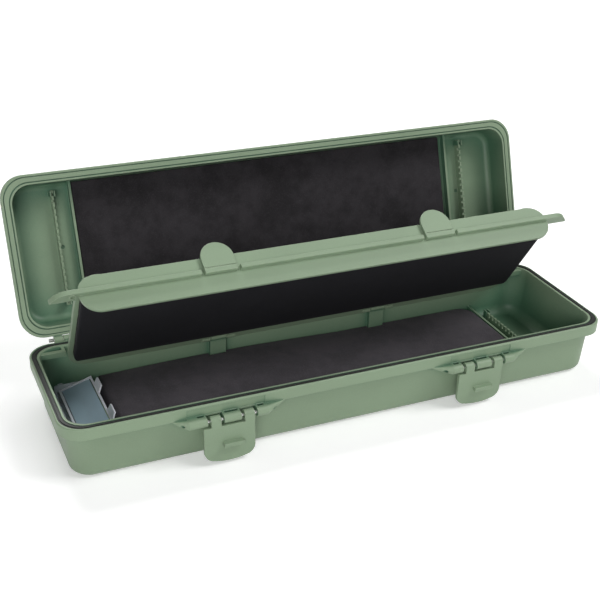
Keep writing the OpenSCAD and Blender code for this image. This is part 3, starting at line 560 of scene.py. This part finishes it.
class RIGBOX_OT_hook_compartment(Operator):
    """Builds the milky cover of the hook compartment with its pane, ears and pivots, and finishes its tray"""
    bl_idname = "rigbox.hook_compartment"
    bl_label = "Hook compartment"

    def execute(self, context):
        colours = context.scene.rigbox_colours
        tray = smooth_copy("insert_tray", "insert_tray_clear")
        give(tray, clear_plastic("clear_tray", tuple(colours.tray), clearness=0.5, haze=0.18))
        bm = self.make_frame()
        self.add_ears(bm)
        self.add_pivots(bm)
        cover = self.hang(bm, "insert_cover_frame")
        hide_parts("insert_cover")
        give(cover, clear_plastic("clear_cover", tuple(colours.cover), clearness=0.12, haze=0.3))
        pane = self.hang(self.make_pane(), "insert_cover_pane")
        give(pane, clear_plastic("clear_pane", tuple(colours.pane), clearness=0.25, haze=0.32))
        return {"FINISHED"}

    def hang(self, bm, name):
        """Carries what is drawn level to the hinge, and turns it to where the cover rests."""
        hinge = Vector(JOINTS["cover_hinge"]["pos_m"])
        hinge.y = 0.0
        bmesh.ops.transform(bm, verts=bm.verts[:], matrix=turned("cover_hinge", "Y") @ Matrix.Translation(hinge))
        return place_mesh(bm, name, "cover")

    def make_frame(self):
        """A plate whose middle is inset, opened and joined through."""
        bm = bmesh.new()
        slab(bm, (*COVER_LOW, -COVER_HALF), (*COVER_HIGH, COVER_HALF))
        bm.normal_update()
        flat = [f for f in bm.faces if abs(f.normal.z) > 0.9]
        bmesh.ops.inset_individual(bm, faces=flat, thickness=COVER_BAND)
        loops = [e for f in flat for e in f.edges]
        bmesh.ops.delete(bm, geom=flat, context="FACES_ONLY")
        bmesh.ops.bridge_loops(bm, edges=loops)
        bmesh.ops.recalc_face_normals(bm, faces=bm.faces[:])
        right_angled = [e for e in bm.edges if e.calc_face_angle(0.0) > 1.0]
        bevel(bm, right_angled, COVER_ROUND, segments=2)
        return bm

    def add_ears(self, bm):
        """Two upturned ears, cut back at their front corner."""
        width, rise, cut_back, overlap, tilt = 0.012, 0.0047, 0.0024, 0.0003, math.radians(-44.0)
        place = Matrix.Translation((COVER_HIGH[0] - overlap, 0, 0)) @ Matrix.Rotation(tilt, 4, "Y")
        for y in (0.0176, -0.0144):
            before = set(bm.verts)
            corners = slab(bm, (-COVER_HALF, y, -COVER_HALF), (rise, y + width, COVER_HALF))
            for v in corners:
                if v.co.x > 0 and v.co.y < y + width / 2:
                    v.co.y += cut_back
            bevel(bm, edges_at(corners), COVER_ROUND, segments=2)
            made = [v for v in bm.verts if v not in before]
            bmesh.ops.transform(bm, verts=made, matrix=place)

    def add_pivots(self, bm):
        """A round stub at each end of the hinge line."""
        radius, reach = 0.0004, 0.0012
        for y in (COVER_LOW[1] - reach / 2, COVER_HIGH[1] + reach / 2):
            stub = bmesh.ops.create_cone(bm, cap_ends=True, segments=20, radius1=radius, radius2=radius,
                                         depth=reach)["verts"]
            bmesh.ops.rotate(bm, verts=stub, cent=(0, 0, 0), matrix=Matrix.Rotation(math.pi / 2, 3, "X"))
            bmesh.ops.translate(bm, verts=stub, vec=(0, y, 0))

    def make_pane(self):
        """A thin plate that fills the frame."""
        half, inset, soften = 0.0003, COVER_BAND + 1e-5, 0.00002
        low = (COVER_LOW[0] + inset, COVER_LOW[1] + inset, -half)
        high = (COVER_HIGH[0] - inset, COVER_HIGH[1] - inset, half)
        bm = bmesh.new()
        bevel(bm, edges_at(slab(bm, low, high)), soften, segments=2)
        return bm


class RIGBOX_OT_base_foam(Operator):
    """Cuts the foam bed of the base, crowned to the back and notched round the leaf's posts"""
    bl_idname = "rigbox.base_foam"
    bl_label = "Base foam"

    def execute(self, context):
        sizes = context.scene.rigbox_sizes
        low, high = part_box("base_foam")
        x0, x1, y1, top = low.x, high.x, high.y - 0.0001, 0.0119
        corner, back_corner, rim = 0.0015, 0.011, 0.0011
        post_x, post_half, post_y = 0.058, 0.0058, 0.0399
        outline = [(x0, -y1), (x1, -y1), (x1, y1)]
        for left, right in ((post_x - post_half, post_x + post_half), (-post_x - post_half, -post_x + post_half)):
            outline += [(right, y1), (right, post_y), (left, post_y), (left, y1)]
        outline.append((x0, y1))
        rounding = [(back_corner, [(x1, y1)]), (corner, [(x0, y1), (x0, -y1), (x1, -y1)])]
        bm = foam_block(outline, low.z, top, rounding, rim, sizes.net)

        def crown(x, y):
            """Highest at crest_x and at the back, and falling along X as a cosine, a degree for each millimetre."""
            crest, crest_x, shoulder = 0.0022, -0.062, 0.75
            along = crest * max(0.0, math.cos(math.radians((x - crest_x) * 1000)))
            across = (y + y1) / (2 * y1)
            return along * min(1.0, 0.1 + 1.15 * across - 0.56 * max(0.0, across - shoulder))

        soften_faces(bm, low.z + 0.006, top, sizes.swell, 4.0, crown)
        tuck_foot(bm, low.z, reach=0.0065, narrowing=0.155, past=0.030)
        # the slope under the ears of the compartment's cover
        cut_plane(bm, (x0 - 0.00005, 0, 0.00777), (-0.695, 0, 0.719), clear_outer=True)
        bmesh.ops.holes_fill(bm, edges=[e for e in bm.edges if e.is_boundary], sides=0)
        obj = place_mesh(bm, "base_foam_sheet", "base")
        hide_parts("base_foam")
        # The bed's foam takes a paler copy of the foam colour, as painted light.
        give(obj, cut_foam("bed_foam", tuple(context.scene.rigbox_colours.bed_foam), sizes, cloud=0.16))
        return {"FINISHED"}


class RIGBOX_OT_lid_foam(Operator):
    """Cuts the thin foam sheet that lines the lid"""
    bl_idname = "rigbox.lid_foam"
    bl_label = "Lid foam"

    def execute(self, context):
        sizes = context.scene.rigbox_sizes
        x0, x1, y1, top, thick = -0.13385, 0.13085, 0.0423, 0.05715, 0.0036
        corner, rim = 0.0012, 0.0008
        outline = [(x0, -y1), (x1, -y1), (x1, y1), (x0, y1)]
        bm = foam_block(outline, 0.0, thick, [(corner, outline)], rim, sizes.net)
        soften_faces(bm, 0.0, thick, sizes.swell, 11.0)
        tuck_foot(bm, 0.0, reach=thick * 0.9, narrowing=0.088, past=0.034, power=2.2)
        bmesh.ops.rotate(bm, verts=bm.verts[:], cent=(0, 0, 0), matrix=Matrix.Rotation(math.pi, 3, "X"))
        bmesh.ops.translate(bm, verts=bm.verts[:], vec=(0, 0, top))
        bmesh.ops.transform(bm, verts=bm.verts[:], matrix=turned("lid_hinge"))
        obj = place_mesh(bm, "lid_foam_sheet", "lid")
        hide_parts("lid_foam")
        give(obj, cut_foam("lid_foam", tuple(context.scene.rigbox_colours.lid_foam), sizes, cloud=0.32))
        return {"FINISHED"}


class RIGBOX_OT_leaf_foams(Operator):
    """Cuts the two foam sheets of the leaf"""
    bl_idname = "rigbox.leaf_foams"
    bl_label = "Leaf foams"

    def execute(self, context):
        sizes = context.scene.rigbox_sizes
        # The leaf's sheets take a darker copy of the foam colour, as painted shade.
        made = cut_foam("leaf_foam", tuple(context.scene.rigbox_colours.leaf_foam), sizes, cloud=0.12)
        at = Vector(JOINTS["leaf_hinge"]["pos_m"])
        x1, y0, y1, thick = 0.1546, -0.079, -0.0056, 0.004
        front_corner, back_corner, rim = 0.0015, 0.011, 0.001
        plate, gap = 0.0015, 0.00004
        pinch, thinned = 0.0062, 0.76
        front, back = [(-x1, y0), (x1, y0)], [(x1, y1), (-x1, y1)]
        for side, node in ((-1, "leaf_foam_lower"), (1, "leaf_foam_upper")):
            bm = foam_block(front + back, 0.0, thick, [(front_corner, front), (back_corner, back)], rim, sizes.net)
            soften_faces(bm, 0.0, thick, sizes.swell, 20.0 + side)
            for v in bm.verts:  # pinched towards the hinge, where the plate's border shows
                v.co.z *= 1.0 - thinned * max(0.0, min(1.0, (v.co.y - y1 + pinch) / pinch))
            if side < 0:
                bmesh.ops.scale(bm, verts=bm.verts[:], vec=(1, 1, -1))
                bmesh.ops.reverse_faces(bm, faces=bm.faces[:])
            bmesh.ops.translate(bm, verts=bm.verts[:], vec=(at.x, at.y, at.z + side * (plate + gap)))
            bmesh.ops.transform(bm, verts=bm.verts[:], matrix=turned("leaf_hinge"))
            obj = place_mesh(bm, node + "_sheet", "leaf")
            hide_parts(node)
            give(obj, made)
        return {"FINISHED"}


class RIGBOX_OT_stage(Operator):
    """Sets the floor, the soft lights and the camera"""
    bl_idname = "rigbox.stage"
    bl_label = "Stage"

    def execute(self, context):
        settings = context.scene.rigbox_stage
        context.scene.view_settings.view_transform = "Standard"
        self.floor(settings)
        self.sky(context.scene, settings)
        for name, setting, height, side, away in LIGHTS:
            self.light(name, math.radians(height), math.radians(side), away, getattr(settings, setting))
        self.camera(context.scene, settings)
        return {"FINISHED"}

    def floor(self, settings):
        """A matt floor that the camera sees lit up, more with the distance, so that it ends in white."""
        half, drop, near, far = 6.0, 0.0003, 0.4, 1.5
        bm = bmesh.new()
        bmesh.ops.create_grid(bm, x_segments=1, y_segments=1, size=half)
        bmesh.ops.translate(bm, verts=bm.verts[:], vec=(0, 0, -drop))
        obj = mesh_object(bm, "floor")
        made = bpy.data.materials.new("pale_floor")
        made.use_nodes = True
        made.node_tree.nodes.clear()
        n = Nodes(made.node_tree)
        matt = n.add("ShaderNodeBsdfDiffuse", {"Color": tuple(settings.floor)}).outputs[0]
        rays = n.add("ShaderNodeLightPath").outputs
        through = n.math("MAXIMUM", rays["Is Glossy Ray"], rays["Is Transmission Ray"])
        seen = n.math("MAXIMUM", rays["Is Camera Ray"], through)
        place = n.add("ShaderNodeTexCoord").outputs["Object"]
        away = n.add("ShaderNodeVectorMath", {0: place}, operation="LENGTH").outputs["Value"]
        lift = n.ramp(away, near, far, settings.lift, 1.0)
        glow = n.add("ShaderNodeEmission", {"Strength": n.math("MULTIPLY", seen, lift)}).outputs[0]
        both = n.add("ShaderNodeAddShader", {0: matt, 1: glow}).outputs[0]
        n.put(n.add("ShaderNodeOutputMaterial").inputs["Surface"], both)
        obj.data.materials.append(made)

    def sky(self, scene, settings):
        """A white backdrop that lights the part only softly."""
        world = bpy.data.worlds.new("Studio")
        world.use_nodes = True
        world.node_tree.nodes.clear()
        n = Nodes(world.node_tree)
        rays = n.add("ShaderNodeLightPath").outputs
        seen = n.math("MAXIMUM", rays["Is Camera Ray"], rays["Is Transmission Ray"])
        strength = n.math("MAXIMUM", seen, settings.sky)
        back = n.add("ShaderNodeBackground", {"Color": (1.0, 1.0, 1.0), "Strength": strength}).outputs[0]
        n.put(n.add("ShaderNodeOutputWorld").inputs["Surface"], back)
        scene.world = world

    def light(self, name, up, turn, away, watts):
        """A soft rectangle of light that faces the middle of the box, and is larger the further it stands."""
        middle = Vector(LIT)
        data = bpy.data.lights.new(name, "AREA")
        data.shape = "RECTANGLE"
        data.size, data.size_y = 0.47 * away, 0.37 * away
        data.energy = watts
        obj = new_object(name, data)
        way = Vector((math.cos(up) * math.sin(turn), -math.cos(up) * math.cos(turn), math.sin(up)))
        obj.location = way * away + middle
        obj.rotation_euler = (middle - obj.location).to_track_quat("-Z", "Y").to_euler()

    def camera(self, scene, settings):
        data = bpy.data.cameras.new("Camera")
        data.sensor_width = 36.0
        data.lens = settings.lens
        data.shift_x, data.shift_y = CAMERA_SHIFT
        data.clip_start, data.clip_end = 0.02, 50.0
        obj = new_object("Camera", data)
        right, up = Vector(CAMERA_RIGHT), Vector(CAMERA_UP)
        back = right.cross(up)
        obj.matrix_world = Matrix.Translation(CAMERA_AT) @ Matrix((right, up, back)).transposed().to_4x4()
        scene.camera = obj


class RIGBOX_PT_panel(Panel):
    """Lists the colours, the sizes and the steps of the rig box"""
    bl_idname = "RIGBOX_PT_panel"
    bl_label = "Rig Box"
    bl_space_type = "VIEW_3D"
    bl_region_type = "UI"
    bl_category = "Rig Box"

    def draw(self, context):
        for group in (context.scene.rigbox_colours, context.scene.rigbox_sizes, context.scene.rigbox_stage):
            box = self.layout.box()
            box.label(text=group.bl_rna.description)
            for key in group.bl_rna.properties.keys():
                if key not in ("rna_type", "name"):
                    box.prop(group, key)
        for operator in STEPS:
            self.layout.operator(operator.bl_idname)


STEPS = (RIGBOX_OT_stage, RIGBOX_OT_mouldings, RIGBOX_OT_seal, RIGBOX_OT_pins, RIGBOX_OT_hook_compartment,
         RIGBOX_OT_base_foam, RIGBOX_OT_lid_foam, RIGBOX_OT_leaf_foams)
CLASSES = (RigBoxColours, RigBoxSizes, RigBoxStage) + STEPS + (RIGBOX_PT_panel,)


def register():
    for made in CLASSES:
        bpy.utils.register_class(made)
    bpy.types.Scene.rigbox_colours = PointerProperty(type=RigBoxColours)
    bpy.types.Scene.rigbox_sizes = PointerProperty(type=RigBoxSizes)
    bpy.types.Scene.rigbox_stage = PointerProperty(type=RigBoxStage)


def unregister():
    del bpy.types.Scene.rigbox_colours, bpy.types.Scene.rigbox_sizes, bpy.types.Scene.rigbox_stage
    for made in reversed(CLASSES):
        bpy.utils.unregister_class(made)


def main():
    register()
    make_edge_wear_and_highlight()
    make_moulded_grain()
    make_foam_cells()
    bpy.ops.rigbox.stage()
    bpy.ops.rigbox.mouldings()
    bpy.ops.rigbox.seal()
    bpy.ops.rigbox.pins()
    bpy.ops.rigbox.hook_compartment()
    bpy.ops.rigbox.base_foam()
    bpy.ops.rigbox.lid_foam()
    bpy.ops.rigbox.leaf_foams()


if __name__ == "__main__":
    main()
